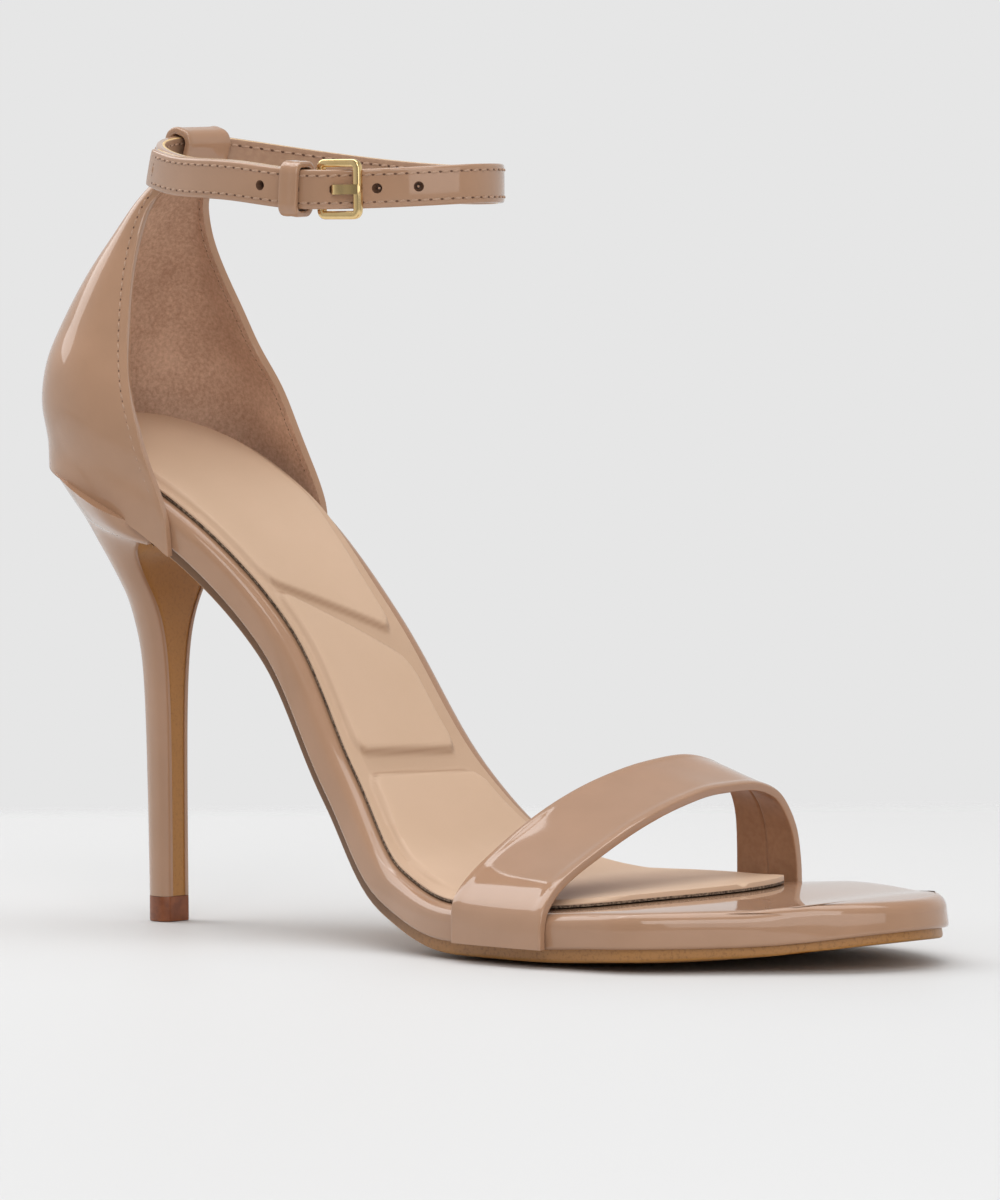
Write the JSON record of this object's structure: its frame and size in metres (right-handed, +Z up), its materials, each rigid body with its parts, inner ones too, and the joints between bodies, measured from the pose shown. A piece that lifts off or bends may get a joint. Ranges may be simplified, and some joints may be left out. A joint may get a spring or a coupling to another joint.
{
  "type": "strappy heeled sandal",
  "caption": "Open sandal with a slim high heel, closed back, one strap over the toes and a buckled ankle strap.",
  "frame": {"origin": "centre of the bounding box's bottom face, on the floor", "axes": "+X towards the toe, +Y towards the inner side of the foot, +Z up"},
  "size_m": [0.2208, 0.0826, 0.1656],
  "materials": {
    "patent_leather": "glossy patent leather, nude taupe",
    "sock_leather": "smooth matt padded sock leather, pale beige",
    "sole_leather": "satin tan sole leather",
    "lift_rubber": "satin brown rubber",
    "gilt_metal": "polished pale gold"
  },
  "bodies": {
    "root": {"wrapped_insole_board": "patent_leather", "outsole": "sole_leather", "padded_sock": "sock_leather", "counter": "patent_leather", "toe_strap": "patent_leather", "heel": "patent_leather", "heel_breast": "sole_leather", "top_lift": "lift_rubber", "strap_loop": "patent_leather", "ankle_strap": "patent_leather", "keeper": "patent_leather", "buckle_frame": "gilt_metal", "buckle_prong": "gilt_metal"}
  },
  "joints": []
}
